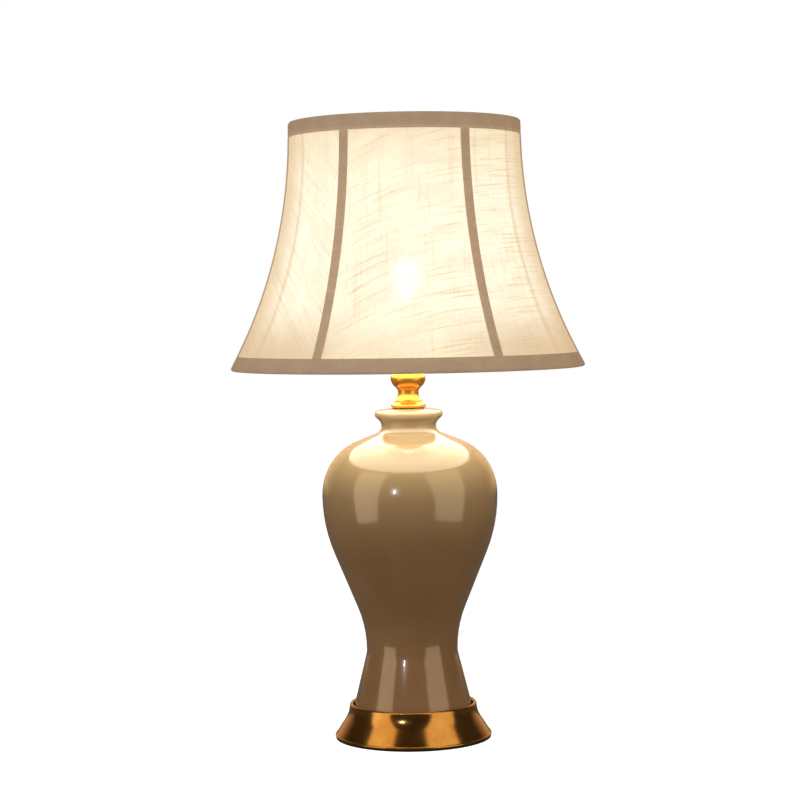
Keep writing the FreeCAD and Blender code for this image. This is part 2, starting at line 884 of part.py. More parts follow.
def wire_ring(label, height):
    """A closed wire ring inside the panels."""
    ring = doc.addObject("Part::Torus", label)
    ring.setExpression("Radius1", bell(height, size("wire_inset")).formula)
    ring.setExpression("Radius2", size("wire_radius").formula)
    ring.Placement.Base = FreeCAD.Vector(0, 0, height.value)
    keep(ring, label)


def rib_wires():
    """Six curved wires from the top ring to the hem ring, each a piece of a torus."""
    reach = (size("bell_arc_radius") + size("wire_inset")).value
    middle = FreeCAD.Vector(size("bell_centre_radius").value, 0,
                            size("bell_centre_height").value)
    start = math.degrees(math.asin((middle.z - size("rib_top").value) / reach))
    end = math.degrees(math.asin((middle.z - size("rib_low").value) / reach))
    upright = FreeCAD.Rotation(FreeCAD.Vector(-1, 0, 0), FreeCAD.Vector(0, 0, -1),
                               FreeCAD.Vector(0, -1, 0), "XYZ")
    begin = FreeCAD.Rotation(FreeCAD.Vector(0, 0, 1), start)
    for number, angle in enumerate(rib_angles(), start=1):
        wire = doc.addObject("Part::Torus", f"rib_wire_{number}")
        wire.setExpression("Radius1", (size("bell_arc_radius") + size("wire_inset")).formula)
        wire.setExpression("Radius2", size("wire_radius").formula)
        wire.Angle3 = end - start
        wire.Placement = FreeCAD.Placement(middle, upright * begin)
        turn_about_z(wire, angle)
        keep(wire, f"rib_wire_{number}")


def fitter_ring():
    low = size("fitter_low")
    tube("fitter_ring", size("fitter_bore_radius"), size("fitter_radius"),
         low, low + size("fitter_thick"))


def drop_arms():
    """Three straight wires that hang the fitter ring from the top ring."""
    height = size("top_ring_height")
    foot = FreeCAD.Vector(size("arm_foot_radius").value, 0, size("arm_foot_height").value)
    ring = FreeCAD.Vector(bell(height, size("wire_inset")).value, 0, height.value)
    way = ring - foot
    length = way.Length - size("wire_radius").value - 0.1
    count = int(size("arm_count").value)
    for number in range(count):
        arm = doc.addObject("Part::Cylinder", f"drop_arm_{number + 1}")
        arm.setExpression("Radius", size("wire_radius").formula)
        arm.Height = length
        lean = FreeCAD.Rotation(FreeCAD.Vector(0, 0, 1), way)
        arm.Placement = FreeCAD.Placement(foot, lean)
        turn_about_z(arm, FIRST_ARM_ANGLE + 360.0 * number / count)
        keep(arm, f"drop_arm_{number + 1}")


def check_model():
    """Stop unless every object computed and every sub-part is a sound closed shape."""
    doc.recompute()
    for thing in doc.Objects:
        if "Invalid" in thing.State or "Error" in thing.State:
            raise RuntimeError(f"{thing.Label} did not compute: {thing.State}")
    for thing in nodes:
        shape = thing.Shape
        if shape.isNull() or not shape.isValid() or shape.Volume <= 0:
            raise RuntimeError(thing.Label + " is not a sound solid")


def write_steps():
    os.makedirs("parts", exist_ok=True)
    for thing in nodes:
        thing.Shape.exportStep(f"parts/{thing.Label}.step")
        print(f"{thing.Label}: {thing.Shape.Volume / 1000:.2f} cm3")
    print(len(nodes), "sub-parts")


fill_sheet()
felt()
base_shell()
cord_gland()
bottom_nut(lock_washer(clamp_washer(base_weight())))
threaded_rod()
vase()
gaskets()
neck_spindle()
holder_cap()
terminal_block()
terminal_screws()
holder_shell()
screw_shell()
centre_contact()
shade_rings()
bulb_contact()
bulb_insulator()
bulb_cap()
bulb_housing()
bulb_globe()
led_plate()
shade_panels()
lining()
rib_tapes()
shade_bands()
wire_ring("top_ring", size("top_ring_height"))
wire_ring("hem_ring", size("hem_ring_height"))
rib_wires()
fitter_ring()
drop_arms()
check_model()
write_steps()
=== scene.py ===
# %% [markdown]
# # A table lamp with a bell shade
#
# The lamp is a glazed vase on a brushed brass foot, a turned brass neck, a screw lampholder
# with a small globe bulb, and a shade of six cloth panels on a wire frame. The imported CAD
# model is the skeleton. This lesson dresses it: turned pieces are spun from an outline, cloth
# is laid over the frame as thin sheets, and every finish is a small network of shader nodes.

# %% Load the frame
import json
import math

import bpy
from mathutils import Euler, Matrix, Vector


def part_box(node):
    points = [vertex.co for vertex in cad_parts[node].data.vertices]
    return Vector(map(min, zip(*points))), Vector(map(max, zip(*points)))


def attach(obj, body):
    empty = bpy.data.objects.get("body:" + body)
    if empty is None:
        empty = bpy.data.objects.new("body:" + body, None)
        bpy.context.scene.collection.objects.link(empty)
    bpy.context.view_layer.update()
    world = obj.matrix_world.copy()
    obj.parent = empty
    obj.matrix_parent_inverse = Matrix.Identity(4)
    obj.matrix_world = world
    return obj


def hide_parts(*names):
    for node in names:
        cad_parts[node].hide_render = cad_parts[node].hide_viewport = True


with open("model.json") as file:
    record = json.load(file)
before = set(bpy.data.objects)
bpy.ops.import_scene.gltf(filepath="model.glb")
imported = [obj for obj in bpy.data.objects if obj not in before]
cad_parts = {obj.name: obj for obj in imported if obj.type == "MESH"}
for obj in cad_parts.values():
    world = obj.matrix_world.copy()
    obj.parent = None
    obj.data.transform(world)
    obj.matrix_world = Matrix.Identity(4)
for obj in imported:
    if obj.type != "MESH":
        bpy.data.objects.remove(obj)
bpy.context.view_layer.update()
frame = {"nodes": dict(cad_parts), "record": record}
MM = 0.001

# %% [markdown]
# ## The camera
#
# The lamp is looked at from the front, nearly level and from about 1.8 m away, with a long
# lens, so its upright lines stay upright. The camera leans under a degree to one side. It is
# made first, because everything else is judged through it.

# %% Camera
CAMERA_PLACE = (0.0, -1.798, 0.3704)
CAMERA_PITCH = math.radians(-2.674)
CAMERA_YAW = math.radians(-0.226)
CAMERA_ROLL = math.radians(-0.92)

bpy.ops.object.select_all(action="DESELECT")
bpy.ops.object.camera_add(location=CAMERA_PLACE)
camera = bpy.context.object
camera.name = "camera"
camera.data.lens = 95.74
camera.data.sensor_width = 36.0
aim = Euler((math.pi / 2 + CAMERA_PITCH, 0.0, -CAMERA_YAW)).to_matrix()
camera.rotation_euler = (aim @ Matrix.Rotation(CAMERA_ROLL, 3, "Z")).to_euler()
bpy.context.scene.camera = camera
print("camera at", CAMERA_PLACE)

# %% [markdown]
# ## Room and lights
#
# The floor and the backdrop are pale and plain. Two tall soft boxes stand in front, one on
# each side: they light the lamp gently and draw the upright bands that show how glossy the
# glaze and the brass are. A narrow window adds small cool highlights left of the middle.
# The room itself is kept dim for reflections, so that the brass shows dark between its
# bright bands, and a warm wall behind the lamp rims its outline. The world is white only
# where the camera looks past the lamp, which the Light Path node tells apart.

# %% Floor, backdrop and soft boxes
SOFT_BOX_DISTANCE = 1.7
SOFT_BOX_HEIGHT = 0.85
SOFT_BOX_TALL = 3.0
SOFT_BOX_COLOUR = (1.0, 0.78, 0.50)
# Azimuth in degrees, width in metres, power in watts.
SOFT_BOXES = {"left": (-59.0, 1.24, 21.0), "right": (53.0, 1.55, 22.0)}
ROOM_GLOW = 0.07
TABLE_GLOW = 0.13
BACKDROP_GLOW = 0.85
LIGHTS_FACE = Vector((0, 0, 0.22))
WINDOW_AZIMUTH = math.radians(-20)
WINDOW_DISTANCE = 2.2
WINDOW_HEIGHT = 0.735
WINDOW_SIZE = (0.042, 0.23)
WINDOW_POWER = 5.0
WINDOW_COLOUR = (0.74, 0.87, 1.0)


def pale_world():
    """White past the lamp; for other rays a dim room above and a pale table top below."""
    world = bpy.data.worlds.new("pale_room")
    bpy.context.scene.world = world
    world.use_nodes = True
    nodes = world.node_tree.nodes
    links = world.node_tree.links
    nodes.clear()
    output = nodes.new("ShaderNodeOutputWorld")
    path = nodes.new("ShaderNodeLightPath")
    skies = {}
    for name, colour, strength in (("room", (1.0, 0.78, 0.55, 1), ROOM_GLOW),
                                   ("backdrop", (1.0, 0.62, 0.31, 1), BACKDROP_GLOW),
                                   ("table", (1.0, 0.80, 0.58, 1), TABLE_GLOW),
                                   ("seen", (1, 1, 1, 1), 1.0)):
        skies[name] = nodes.new("ShaderNodeBackground")
        skies[name].inputs["Color"].default_value = colour
        skies[name].inputs["Strength"].default_value = strength
    where = nodes.new("ShaderNodeTexCoord")
    split = nodes.new("ShaderNodeSeparateXYZ")
    upper = nodes.new("ShaderNodeMapRange")
    upper.inputs["From Min"].default_value = -0.08
    upper.inputs["From Max"].default_value = 0.02
    links.new(where.outputs["Generated"], split.inputs[0])
    links.new(split.outputs["Z"], upper.inputs["Value"])
    behind = nodes.new("ShaderNodeMapRange")
    behind.inputs["From Min"].default_value = 0.55
    behind.inputs["From Max"].default_value = 0.90
    links.new(split.outputs["Y"], behind.inputs["Value"])
    walls = nodes.new("ShaderNodeMixShader")
    links.new(behind.outputs[0], walls.inputs[0])
    links.new(skies["room"].outputs[0], walls.inputs[1])
    links.new(skies["backdrop"].outputs[0], walls.inputs[2])
    around = nodes.new("ShaderNodeMixShader")
    links.new(upper.outputs[0], around.inputs[0])
    links.new(skies["table"].outputs[0], around.inputs[1])
    links.new(walls.outputs[0], around.inputs[2])
    choose = nodes.new("ShaderNodeMixShader")
    links.new(path.outputs["Is Camera Ray"], choose.inputs[0])
    links.new(around.outputs[0], choose.inputs[1])
    links.new(skies["seen"].outputs[0], choose.inputs[2])
    links.new(choose.outputs[0], output.inputs["Surface"])


def pale_floor():
    """A white floor for the camera; other rays find it darker."""
    bpy.ops.object.select_all(action="DESELECT")
    bpy.ops.mesh.primitive_plane_add(size=14.0, location=(0, 0, 0))
    floor = bpy.context.object
    floor.name = "floor"
    material = bpy.data.materials.new("pale_floor")
    material.use_nodes = True
    nodes = material.node_tree.nodes
    links = material.node_tree.links
    nodes.clear()
    output = nodes.new("ShaderNodeOutputMaterial")
    choose = nodes.new("ShaderNodeMixShader")
    path = nodes.new("ShaderNodeLightPath")
    seen = nodes.new("ShaderNodeAddShader")
    glow = nodes.new("ShaderNodeEmission")
    glow.inputs["Strength"].default_value = 0.98
    shades = {"seen": 0.35, "unseen": 0.25}
    diffuse = {}
    for name, value in shades.items():
        diffuse[name] = nodes.new("ShaderNodeBsdfDiffuse")
        diffuse[name].inputs["Color"].default_value = (value, value, value, 1)
    links.new(glow.outputs[0], seen.inputs[0])
    links.new(diffuse["seen"].outputs[0], seen.inputs[1])
    links.new(path.outputs["Is Camera Ray"], choose.inputs[0])
    links.new(diffuse["unseen"].outputs[0], choose.inputs[1])
    links.new(seen.outputs[0], choose.inputs[2])
    links.new(choose.outputs[0], output.inputs["Surface"])
    floor.data.materials.append(material)
    floor.visible_glossy = False
    floor.visible_diffuse = False


def soft_box(name, azimuth, distance, height, size, power, colour):
    """A rectangular area light that faces the middle of the lamp."""
    place = Vector((distance * math.sin(azimuth), -distance * math.cos(azimuth), height))
    light = bpy.data.lights.new(name, "AREA")
    light.shape = "RECTANGLE"
    light.size, light.size_y = size
    light.energy = power
    light.color = colour
    lamp = bpy.data.objects.new(name, light)
    bpy.context.scene.collection.objects.link(lamp)
    lamp.location = place
    lamp.rotation_euler = (LIGHTS_FACE - place).to_track_quat("-Z", "Y").to_euler()
    return lamp


pale_world()
pale_floor()
for name, (azimuth, width, power) in SOFT_BOXES.items():
    soft_box(f"soft_box_{name}", math.radians(azimuth), SOFT_BOX_DISTANCE, SOFT_BOX_HEIGHT,
             (width, SOFT_BOX_TALL), power, SOFT_BOX_COLOUR)
soft_box("narrow_window", WINDOW_AZIMUTH, WINDOW_DISTANCE, WINDOW_HEIGHT, WINDOW_SIZE,
         WINDOW_POWER, WINDOW_COLOUR)
bpy.context.scene.view_settings.view_transform = "Standard"
print("soft boxes:", ", ".join(SOFT_BOXES))

# %% [markdown]
# ## Writing shader maths as Python
#
# A node network is easier to read as a formula. `Tone` wraps one output socket, so that
# `1 - mask` or `grain * 0.3 + dust` adds the Math nodes by itself. `Finish` is one material:
# its `node` method makes any node from a type, its settings and its inputs.

# %% The two shader helpers


class Tone:
    """One number that varies over a surface."""

    def __init__(self, finish, socket):
        self.finish = finish
        self.socket = socket

    def sum_of(self, operation, first, second):
        return self.finish.node("ShaderNodeMath", {"operation": operation},
                                {0: first, 1: second})

    def __add__(self, other):
        return self.sum_of("ADD", self, other)

    def __radd__(self, other):
        return self.sum_of("ADD", other, self)

    def __sub__(self, other):
        return self.sum_of("SUBTRACT", self, other)

    def __rsub__(self, other):
        return self.sum_of("SUBTRACT", other, self)

    def __mul__(self, other):
        return self.sum_of("MULTIPLY", self, other)

    def __rmul__(self, other):
        return self.sum_of("MULTIPLY", other, self)

    def __truediv__(self, other):
        return self.sum_of("DIVIDE", self, other)

    def __rtruediv__(self, other):
        return self.sum_of("DIVIDE", other, self)

    def __pow__(self, other):
        return self.sum_of("POWER", self, other)


class Finish:
    """A material whose Principled shader is fed by expressions."""

    def __init__(self, name, **constants):
        self.material = bpy.data.materials.new(name)
        self.material.use_nodes = True
        self.tree = self.material.node_tree
        self.tree.nodes.clear()
        self.output = self.tree.nodes.new("ShaderNodeOutputMaterial")
        self.shader = self.tree.nodes.new("ShaderNodeBsdfPrincipled")
        self.tree.links.new(self.shader.outputs[0], self.output.inputs["Surface"])
        for socket, value in constants.items():
            self.feed(self.shader.inputs[socket.replace("_", " ")], value)

    def feed(self, socket, value):
        if isinstance(value, Tone):
            self.tree.links.new(value.socket, socket)
        elif isinstance(value, tuple) and socket.type == "RGBA":
            socket.default_value = tuple(value[:3]) + (1.0,)
        else:
            socket.default_value = value

    def node(self, kind, settings=None, inputs=None, output=0):
        made = self.tree.nodes.new(kind)
        for key, value in (settings or {}).items():
            setattr(made, key, value)
        for key, value in (inputs or {}).items():
            self.feed(made.inputs[key], value)
        return Tone(self, made.outputs[output])

    def place(self, scale=(1, 1, 1), source="Object"):
        """Where on the piece: its own coordinates in metres, or its cloth map, stretched."""
        where = self.node("ShaderNodeTexCoord", output=source)
        return self.node("ShaderNodeMapping", {"vector_type": "POINT"},
                         {"Vector": where, "Scale": scale})

    def split(self, vector, axis):
        return self.node("ShaderNodeSeparateXYZ", None, {0: vector}, "XYZ".index(axis))

    def noise(self, vector, scale=1.0, detail=2.0, roughness=0.5):
        return self.node("ShaderNodeTexNoise", None, {
            "Vector": vector, "Scale": scale, "Detail": detail, "Roughness": roughness})

    def between(self, value, low, high, start=0.0, end=1.0):
        """A smooth step: start below low, end above high."""
        return self.node("ShaderNodeMapRange", {"interpolation_type": "SMOOTHSTEP"},
                         {0: value, 1: low, 2: high, 3: start, 4: end})

    def mix(self, factor, first, second):
        made = self.tree.nodes.new("ShaderNodeMix")
        made.data_type = "RGBA"
        self.feed(made.inputs[0], factor)
        self.feed(made.inputs[6], first)
        self.feed(made.inputs[7], second)
        return Tone(self, made.outputs[2])

    def bump(self, height, distance, strength=1.0):
        normal = self.node("ShaderNodeBump", None, {
            "Height": height, "Distance": distance, "Strength": strength})
        self.feed(self.shader.inputs["Normal"], normal)

    def set(self, **inputs):
        for socket, value in inputs.items():
            self.feed(self.shader.inputs[socket.replace("_", " ")], value)
        return self

    def let_through(self, share, colour):
        """Let part of the light pass through, as thin cloth does."""
        passing = self.node("ShaderNodeBsdfTranslucent", None, {"Color": colour})
        both = self.node("ShaderNodeMixShader", None, {0: share})
        blend = both.socket.node
        self.tree.links.new(self.shader.outputs[0], blend.inputs[1])
        self.tree.links.new(passing.socket, blend.inputs[2])
        self.tree.links.new(both.socket, self.output.inputs["Surface"])


# %% [markdown]
# ## Ceramic and brass
#
# A glaze is a smooth clear layer over a coloured body. Under the gloss its colour clouds
# very slightly. Its paler shoulder is painted light from the lamp above; the lip is palest,
# where the glaze ran thin, with painted light from above added. Just above the brass rim the
# glaze is a little darker. The surface swells and dips by hundredths of a millimetre, which
# bends the reflections just enough to look fired and not moulded. Turned brass keeps the fine
# rings of the cloth that polished it: noise squeezed along the axis draws them. The foot is
# darker antique brass, the neck brighter.

# %% Glaze and brass finishes


def glaze():
    """Taupe glaze; heights are in metres above the table."""
    finish = Finish("taupe_glaze", Coat_Weight=1.0, Coat_Roughness=0.04, Coat_IOR=1.5,
                    Specular_IOR_Level=0.5)
    clouds = finish.noise(finish.place((1, 1, 1)), 22.0, 3.0)
    specks = finish.noise(finish.place((1, 1, 1)), 900.0, 1.0)
    height = finish.split(finish.place(), "Z")
    # A little darker in a band just above the brass rim.
    darker_above_rim = finish.between(height, 0.0275, 0.034, 1.0, 0.0)
    body = finish.mix(finish.between(clouds, 0.35, 0.7), (0.285, 0.170, 0.087),
                      (0.318, 0.194, 0.102))
    body = finish.mix(finish.between(specks, 0.68, 0.75, 0.0, 0.25), body, (0.32, 0.18, 0.08))
    body = finish.mix(darker_above_rim * 0.20, body, (0.22, 0.13, 0.07))
    # Painted light: the shoulder is paler where the lamp's light from above falls on it.
    upper = finish.between(height, 0.15, 0.230)
    body = finish.mix(upper, body, (0.385, 0.285, 0.168))
    # The lip is paler where the glaze ran thin, with painted light from above added.
    lip = finish.between(height, 0.2700, 0.2735, 0.0, 0.9)
    body = finish.mix(lip, body, (0.50, 0.38, 0.23))
    finish.set(Base_Color=body, Roughness=clouds * 0.06 + 0.16)
    finish.bump(finish.noise(finish.place((1, 1, 0.8)), 34.0, 1.0), 0.0004, 0.06)
    return finish.material


def turned_brass(name, dark, bright, roughness, ring_depth, metal):
    """Brass with fine turned rings; less than fully metal where it is lacquered."""
    finish = Finish(name, Metallic=metal)
    rings = finish.noise(finish.place((14, 14, 5200)), 1.0, 2.0, 0.6)
    tarnish = finish.noise(finish.place((1, 1, 1)), 38.0, 4.0, 0.6)
    colour = finish.mix(finish.between(tarnish, 0.3, 0.75), dark, bright)
    colour = finish.mix(finish.between(rings, 0.35, 0.65, 0.25, 0.0), colour, dark)
    finish.set(Base_Color=colour, Roughness=rings * 0.07 + roughness)
    finish.bump(rings, ring_depth)
    return finish.material


GLAZE = glaze()
FOOT_BRASS = turned_brass("antique_brass", (0.37, 0.18, 0.043), (0.51, 0.275, 0.085),
                          0.13, 0.000004, 1.0)
NECK_BRASS = turned_brass("polished_brass", (0.74, 0.33, 0.055), (0.94, 0.46, 0.085),
                          0.24, 0.000004, 0.82)
print("glaze and brass ready")

# %% [markdown]
# ## Cloth
#
# The panels are a slubbed cloth: a plain weave in which some threads swell for a few
# centimetres. Lit from inside, the thick threads show as darker streaks. The pattern lives
# on each panel's own cloth map, in metres, so the streaks run the way that panel was cut.
# The light that comes through the cloth is painted into its emission: strongest on the cloth
# nearest to the bulb, it fades with distance, and painted shade turns it peach on the sides
# and in the lower corners. A painted bright spot on the front stands for the bulb itself, and
# painted faint upright shadows stand for the three wire arms inside. Tape is denser:
# it hides most of the light and shows its fine cross ribs.

# %% Cloth finishes
BULB_MIDDLE = (0.0, 0.0, 0.384)
SPOT_HEIGHT = 0.388
ARM_SPACING = 2 * math.pi / 3


def lamp_glow(finish, near, far):
    """Share of the lamp's light, from 1 close to the bulb to 0 far from it."""
    where = finish.node("ShaderNodeTexCoord", output="Object")
    gap = finish.node("ShaderNodeVectorMath", {"operation": "DISTANCE"},
                      {0: where, 1: BULB_MIDDLE}, output="Value")
    return finish.between(gap, near, far, 1.0, 0.0)


def turn_round(finish):
    """Angle round the lamp: 0 at its front, growing towards its right."""
    where = finish.node("ShaderNodeTexCoord", output="Object")
    ahead = finish.split(where, "Y") * -1.0
    return finish.node("ShaderNodeMath", {"operation": "ARCTAN2"},
                       {0: finish.split(where, "X"), 1: ahead})


def size_of(finish, value):
    return finish.node("ShaderNodeMath", {"operation": "ABSOLUTE"}, {0: value})


def weave(finish):
    """The plain weave and its swollen threads, as two tones."""
    weft = finish.noise(finish.place((130, 900, 1), "UV"), 1.0, 1.0)
    warp = finish.noise(finish.place((900, 130, 1), "UV"), 1.0, 1.0)
    plain = weft * 0.5 + warp * 0.5
    along = finish.noise(finish.place((15, 800, 1), "UV"), 1.0, 2.0, 0.5)
    streaks = finish.between(along, 0.56, 0.66)
    cross = finish.noise(finish.place((560, 12, 1), "UV"), 1.0, 1.0)
    uprights = finish.between(cross, 0.55, 0.70)
    thick = streaks * 0.70 + uprights * 0.32 + finish.between(plain, 0.42, 0.66) * 0.30
    return plain * 0.5 + streaks, thick


def bulb_spot(finish, turn, aside, height):
    """The bulb seen through the front cloth: an upright oval, strongest in its middle."""
    level = (height - SPOT_HEIGHT) * 44.0
    spot = finish.between(level ** 2 + (aside * 8.5) ** 2, 0.0, 1.0, 0.8, 0.0)
    ahead = finish.node("ShaderNodeMath", {"operation": "COSINE"}, {0: turn})
    return spot * finish.between(ahead, 0.7, 0.9)


def slubbed_linen():
    finish = Finish("slubbed_linen", Roughness=0.85, Sheen_Weight=0.1,
                    Emission_Strength=1.0)
    relief, thick = weave(finish)
    clouds = finish.noise(finish.place((22, 60, 1), "UV"), 1.0, 2.0)
    height = finish.split(finish.node("ShaderNodeTexCoord", output="Object"), "Z")
    turn = turn_round(finish)
    arms = finish.node("ShaderNodeMath", {"operation": "WRAP"},
                       {0: turn, 1: ARM_SPACING / 2, 2: -ARM_SPACING / 2})
    aside = size_of(finish, arms) / (ARM_SPACING / 2)
    side = size_of(finish, finish.node("ShaderNodeMath", {"operation": "SINE"}, {0: turn}))
    # Painted shade: the glow turns darker peach in the lower corners of each panel.
    corner = finish.between(height, 0.325, 0.372, 0.75, 0.0) * finish.between(side, 0.15, 0.7)
    arm_shadow = finish.between(aside, 0.955, 0.998, 0.0, 0.45)
    # Painted light: the glow is the bulb's light through the cloth, brightest nearest the
    # bulb.
    near = lamp_glow(finish, 0.112, 0.182)
    glow = finish.mix(near, (0.68, 0.57, 0.38), (0.90, 0.87, 0.72))
    # Painted shade: the glow turns darker peach towards the sides of the lamp.
    glow = finish.mix(finish.between(side, 0.84, 1.0, 0.0, 0.65), glow, (0.54, 0.37, 0.21))
    glow = finish.mix(finish.between(clouds, 0.3, 0.7, 0.0, 0.20), glow, (0.42, 0.30, 0.18))
    glow = finish.mix(corner, glow, (0.46, 0.31, 0.19))
    glow = finish.mix(bulb_spot(finish, turn, aside, height), glow, (0.80, 0.90, 1.0))
    glow = finish.mix(arm_shadow, glow, (0.46, 0.28, 0.16))
    glow = finish.mix(thick * 0.66, glow, (0.48, 0.32, 0.16))
    cloth = finish.mix(thick, (0.44, 0.44, 0.42), (0.43, 0.39, 0.33))
    finish.set(Base_Color=cloth, Emission_Color=glow)
    finish.bump(relief, 0.0001, 0.3)
    finish.let_through(0.08, (0.85, 0.76, 0.60))
    return finish.material


def lining_cloth():
    finish = Finish("lining_cloth", Roughness=0.9, Emission_Strength=1.0)
    threads = finish.noise(finish.place((1400, 500, 1), "UV"), 1.0, 2.0)
    # Painted light: the lining's glow is the bulb's light, brightest nearest the bulb.
    near = lamp_glow(finish, 0.10, 0.20)
    glow = finish.mix(near, (0.30, 0.26, 0.19), (0.60, 0.56, 0.45))
    glow = finish.mix(finish.between(threads, 0.4, 0.8, 0.0, 0.4), glow, (0.22, 0.17, 0.10))
    finish.set(Base_Color=finish.mix(threads, (0.85, 0.78, 0.66), (0.75, 0.66, 0.52)),
               Emission_Color=glow)
    finish.bump(threads, 0.0001, 0.4)
    finish.let_through(0.3, (0.9, 0.8, 0.6))
    return finish.material


def woven_tape():
    finish = Finish("woven_tape", Roughness=0.9, Emission_Strength=1.0)
    ribs = finish.noise(finish.place((60, 1900, 1), "UV"), 1.0, 1.0)
    yarn = finish.noise(finish.place((900, 240, 1), "UV"), 1.0, 2.0)
    wear = finish.noise(finish.place((70, 70, 1), "UV"), 1.0, 3.0)
    grain = ribs * 0.5 + yarn * 0.5
    cloth = finish.mix(grain, (0.42, 0.365, 0.33), (0.30, 0.26, 0.235))
    cloth = finish.mix(finish.between(wear, 0.35, 0.75, 0.0, 0.3), cloth, (0.55, 0.48, 0.41))
    near = lamp_glow(finish, 0.11, 0.20)
    # The bulb's light through the tape is painted into its emission. Under the top band a
    # thin stripe of tape has no ring behind it, so more light is painted there.
    glow = finish.mix(near, (0.09, 0.056, 0.038), (0.36, 0.23, 0.13))
    height = finish.split(finish.node("ShaderNodeTexCoord", output="Object"), "Z")
    below = finish.between(height, 0.5098, 0.5112, 1.0, 0.0)
    above = finish.between(height, 0.5060, 0.5079, 0.0, 1.0)
    glow = finish.mix(below * above * 0.6, glow, (0.36, 0.25, 0.14))
    finish.set(Base_Color=cloth, Emission_Color=finish.mix(grain, glow, (0.07, 0.04, 0.02)))
    finish.bump(grain, 0.0003, 0.7)
    return finish.material


LINEN = slubbed_linen()
LINING = lining_cloth()
TAPE = woven_tape()
print("cloth ready")

# %% [markdown]
# ## Plain metals, rubber, felt and plastic
#
# The rest of the lamp is hidden or small, but each material still has the marks that the
# real one has: a speckled casting, a brushed zinc plate, a slightly blotchy moulding.

# %% Small finishes


def speckled(name, first, second, scale, roughness, depth, **constants):
    """A finish with one speckled pattern that drives its colour, gloss and relief."""
    finish = Finish(name, **constants)
    grain = finish.noise(finish.place(), scale, 4.0, 0.6)
    spots = finish.between(grain, 0.35, 0.68)
    finish.set(Base_Color=finish.mix(spots, first, second),
               Roughness=grain * 0.15 + roughness)
    finish.bump(grain, depth, 0.6)
    return finish.material


def opal_glow():
    """The lit globe: whitest on its crown, warmer towards the housing."""
    finish = Finish("opal_glow", Roughness=0.35, Emission_Strength=14.0)
    height = finish.split(finish.place(), "Z")
    haze = finish.noise(finish.place(), 60.0, 2.0)
    crown = finish.between(height + haze * 0.004, 0.369, 0.388)
    finish.set(Base_Color=finish.mix(haze, (0.92, 0.88, 0.80), (0.98, 0.95, 0.88)),
               Emission_Color=finish.mix(crown, (1.0, 0.84, 0.62), (1.0, 0.94, 0.82)))
    return finish.material


SMALL_FINISHES = {
    "felt": speckled("needled_felt", (0.004, 0.004, 0.004), (0.015, 0.014, 0.013),
                     1500.0, 0.85, 0.0006),
    "gland_rubber": speckled("black_rubber", (0.015, 0.015, 0.015), (0.03, 0.03, 0.03),
                             700.0, 0.6, 0.0001),
    "cast_weight": speckled("cast_iron", (0.05, 0.05, 0.055), (0.12, 0.12, 0.12),
                            420.0, 0.65, 0.0006, Metallic=0.6),
    "zinc_steel": speckled("zinc_plate", (0.45, 0.46, 0.48), (0.62, 0.63, 0.64),
                           260.0, 0.28, 0.0001, Metallic=1.0),
    "porcelain": speckled("porcelain", (0.80, 0.78, 0.73), (0.88, 0.87, 0.84),
                          500.0, 0.5, 0.0001),
    "holder_plastic": speckled("ivory_plastic", (0.70, 0.64, 0.50), (0.78, 0.73, 0.61),
                               300.0, 0.38, 0.00008),
    "contact_brass": speckled("drawn_brass", (0.70, 0.48, 0.18), (0.85, 0.63, 0.30),
                              240.0, 0.25, 0.00006, Metallic=1.0),
    "bulb_cap_metal": speckled("nickel_plate", (0.62, 0.61, 0.58), (0.78, 0.77, 0.74),
                               240.0, 0.22, 0.00006, Metallic=1.0),
    "bulb_insulator": speckled("black_glass", (0.01, 0.01, 0.012), (0.03, 0.03, 0.033),
                               300.0, 0.15, 0.00005),
    "bulb_plastic": speckled("white_plastic", (0.82, 0.81, 0.78), (0.9, 0.89, 0.87),
                             300.0, 0.4, 0.00006),
    "led_plate": speckled("white_board", (0.78, 0.78, 0.75), (0.9, 0.9, 0.87),
                          600.0, 0.5, 0.0001),
    "coated_wire": speckled("powder_coat", (0.74, 0.71, 0.64), (0.84, 0.81, 0.75),
                            900.0, 0.42, 0.0001),
    "foot_brass": FOOT_BRASS,
    "neck_brass": NECK_BRASS,
    "glazed_ceramic": GLAZE,
    "opal_globe": opal_glow(),
    "shade_linen": LINEN,
    "lining_cloth": LINING,
    "trim_tape": TAPE,
}


def dress_cad_nodes():
    """Give every CAD node the finish of its slot; those replaced later stay hidden."""
    slots = {row["node"]: row["material_slot"] for row in frame["record"]["subparts"]}
    for name, node in frame["nodes"].items():
        node.data.materials.clear()
        node.data.materials.append(SMALL_FINISHES[slots[name]])


dress_cad_nodes()
print(len(SMALL_FINISHES), "finishes")

# %% [markdown]
# ## Spinning a piece on the lathe
#
# A turned piece is one outline swept round the axis. The outline is drawn as by hand: a
# single point is extruded from corner to corner in edit mode, round stretches in short
# steps along their arc, and the Spin tool turns it. A corner is a radius and a height in
# millimetres. A third number is the radius of the arc that reaches it, positive where the
# arc bends left.

# %% The lathe
ARC_STEP = math.radians(5)
LONGEST_STEP = 9.0


def arc_points(start, end, curve):
    """Points after start, up to end, on the short arc of that radius."""
    start, end = Vector(start), Vector(end)
    radius = abs(curve)
    along = end - start
    left = Vector((-along.y, along.x)).normalized() * (1 if curve > 0 else -1)
    offset = math.sqrt(max(radius ** 2 - along.length_squared / 4, 0.0))
    centre = (start + end) / 2 + left * offset
    first = math.atan2(start.y - centre.y, start.x - centre.x)
    sweep = math.atan2(end.y - centre.y, end.x - centre.x) - first
    sweep = (sweep + math.pi) % (2 * math.pi) - math.pi
    count = max(2, math.ceil(abs(sweep) / ARC_STEP),
                math.ceil(radius * abs(sweep) / LONGEST_STEP))
    angles = [first + sweep * step / count for step in range(1, count + 1)]
    return [(centre.x + radius * math.cos(a), centre.y + radius * math.sin(a))
            for a in angles]


